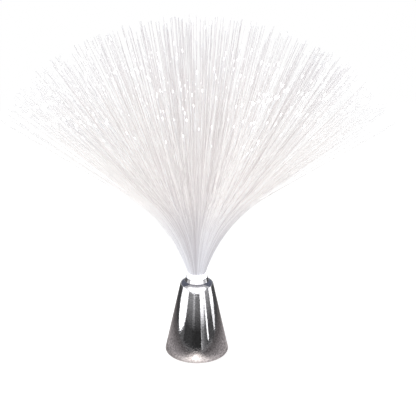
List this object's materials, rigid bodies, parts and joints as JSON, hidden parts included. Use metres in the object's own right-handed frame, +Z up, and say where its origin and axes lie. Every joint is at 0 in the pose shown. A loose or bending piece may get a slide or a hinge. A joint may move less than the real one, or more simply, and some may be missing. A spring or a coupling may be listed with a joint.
{
  "type": "fiber optic lamp",
  "caption": "Battery table lamp with a bright tapered base, a glowing white collar and a fountain of clear optical strands, with a slide switch and a hinged battery door underneath.",
  "frame": {"origin": "on the table, under the middle of the base and of the spray", "axes": "+Z up along the lamp's axis; +X towards the slide switch under the base; -X towards the battery door's hinge"},
  "size_m": [0.3568, 0.3528, 0.3256],
  "materials": {
    "metallised_shell": "polished",
    "milky_collar": "gloss",
    "black_abs": "satin",
    "grey_abs": "satin",
    "white_abs": "satin",
    "foot_rubber": "matte",
    "zinc_screw": "satin",
    "nickel_contact": "gloss",
    "brass_pin": "satin",
    "red_pvc": "satin",
    "black_pvc": "satin",
    "green_board": "satin",
    "chip_epoxy": "matte",
    "ferrule_aluminium": "satin",
    "cell_jacket": "gloss",
    "led_red_lens": "gloss",
    "led_green_lens": "gloss",
    "led_blue_lens": "gloss",
    "acrylic_strand": "gloss"
  },
  "bodies": {
    "lamp": {"battery_cage": "grey_abs", "battery_cell_1": "cell_jacket", "battery_cell_2": "cell_jacket", "battery_cell_3": "cell_jacket", "battery_terminal": "nickel_contact", "board_resistors": "chip_epoxy", "board_screws": "zinc_screw", "bottom_cover": "black_abs", "bundle_ferrule": "ferrule_aluminium", "circuit_board": "green_board", "cover_screws": "zinc_screw", "driver_chip": "chip_epoxy", "foot_pads": "foot_rubber", "housing_shell": "metallised_shell", "lead_to_board": "black_pvc", "lead_to_terminal": "red_pvc", "led_blue": "led_blue_lens", "led_green": "led_green_lens", "led_red": "led_red_lens", "led_reflector": "white_abs", "neck_collar": "milky_collar", "strand_centre": "acrylic_strand", "strands_ring_1": "acrylic_strand", "strands_ring_2": "acrylic_strand", "strands_ring_3": "acrylic_strand", "strands_ring_4": "acrylic_strand", "strands_ring_5": "acrylic_strand", "strands_ring_6": "acrylic_strand", "switch_housing": "grey_abs", "switch_pins": "brass_pin", "top_bridge_contact": "nickel_contact", "top_tab_contact": "nickel_contact"},
    "door": {"battery_door": "black_abs", "door_bridge_contact": "nickel_contact", "door_plate_contact": "nickel_contact"},
    "knob": {"switch_knob": "black_abs"}
  },
  "joints": [
    {"name": "battery_door_hinge", "type": "hinge", "parent": "lamp", "child": "door", "pos_m": [-0.0162, 0, 0.0024], "axis": [0, 1, 0], "range_deg": [0, 90]},
    {"name": "power_switch_slide", "type": "slide", "parent": "lamp", "child": "knob", "axis": [0, 1, 0], "range_m": [0, 0.002]}
  ]
}
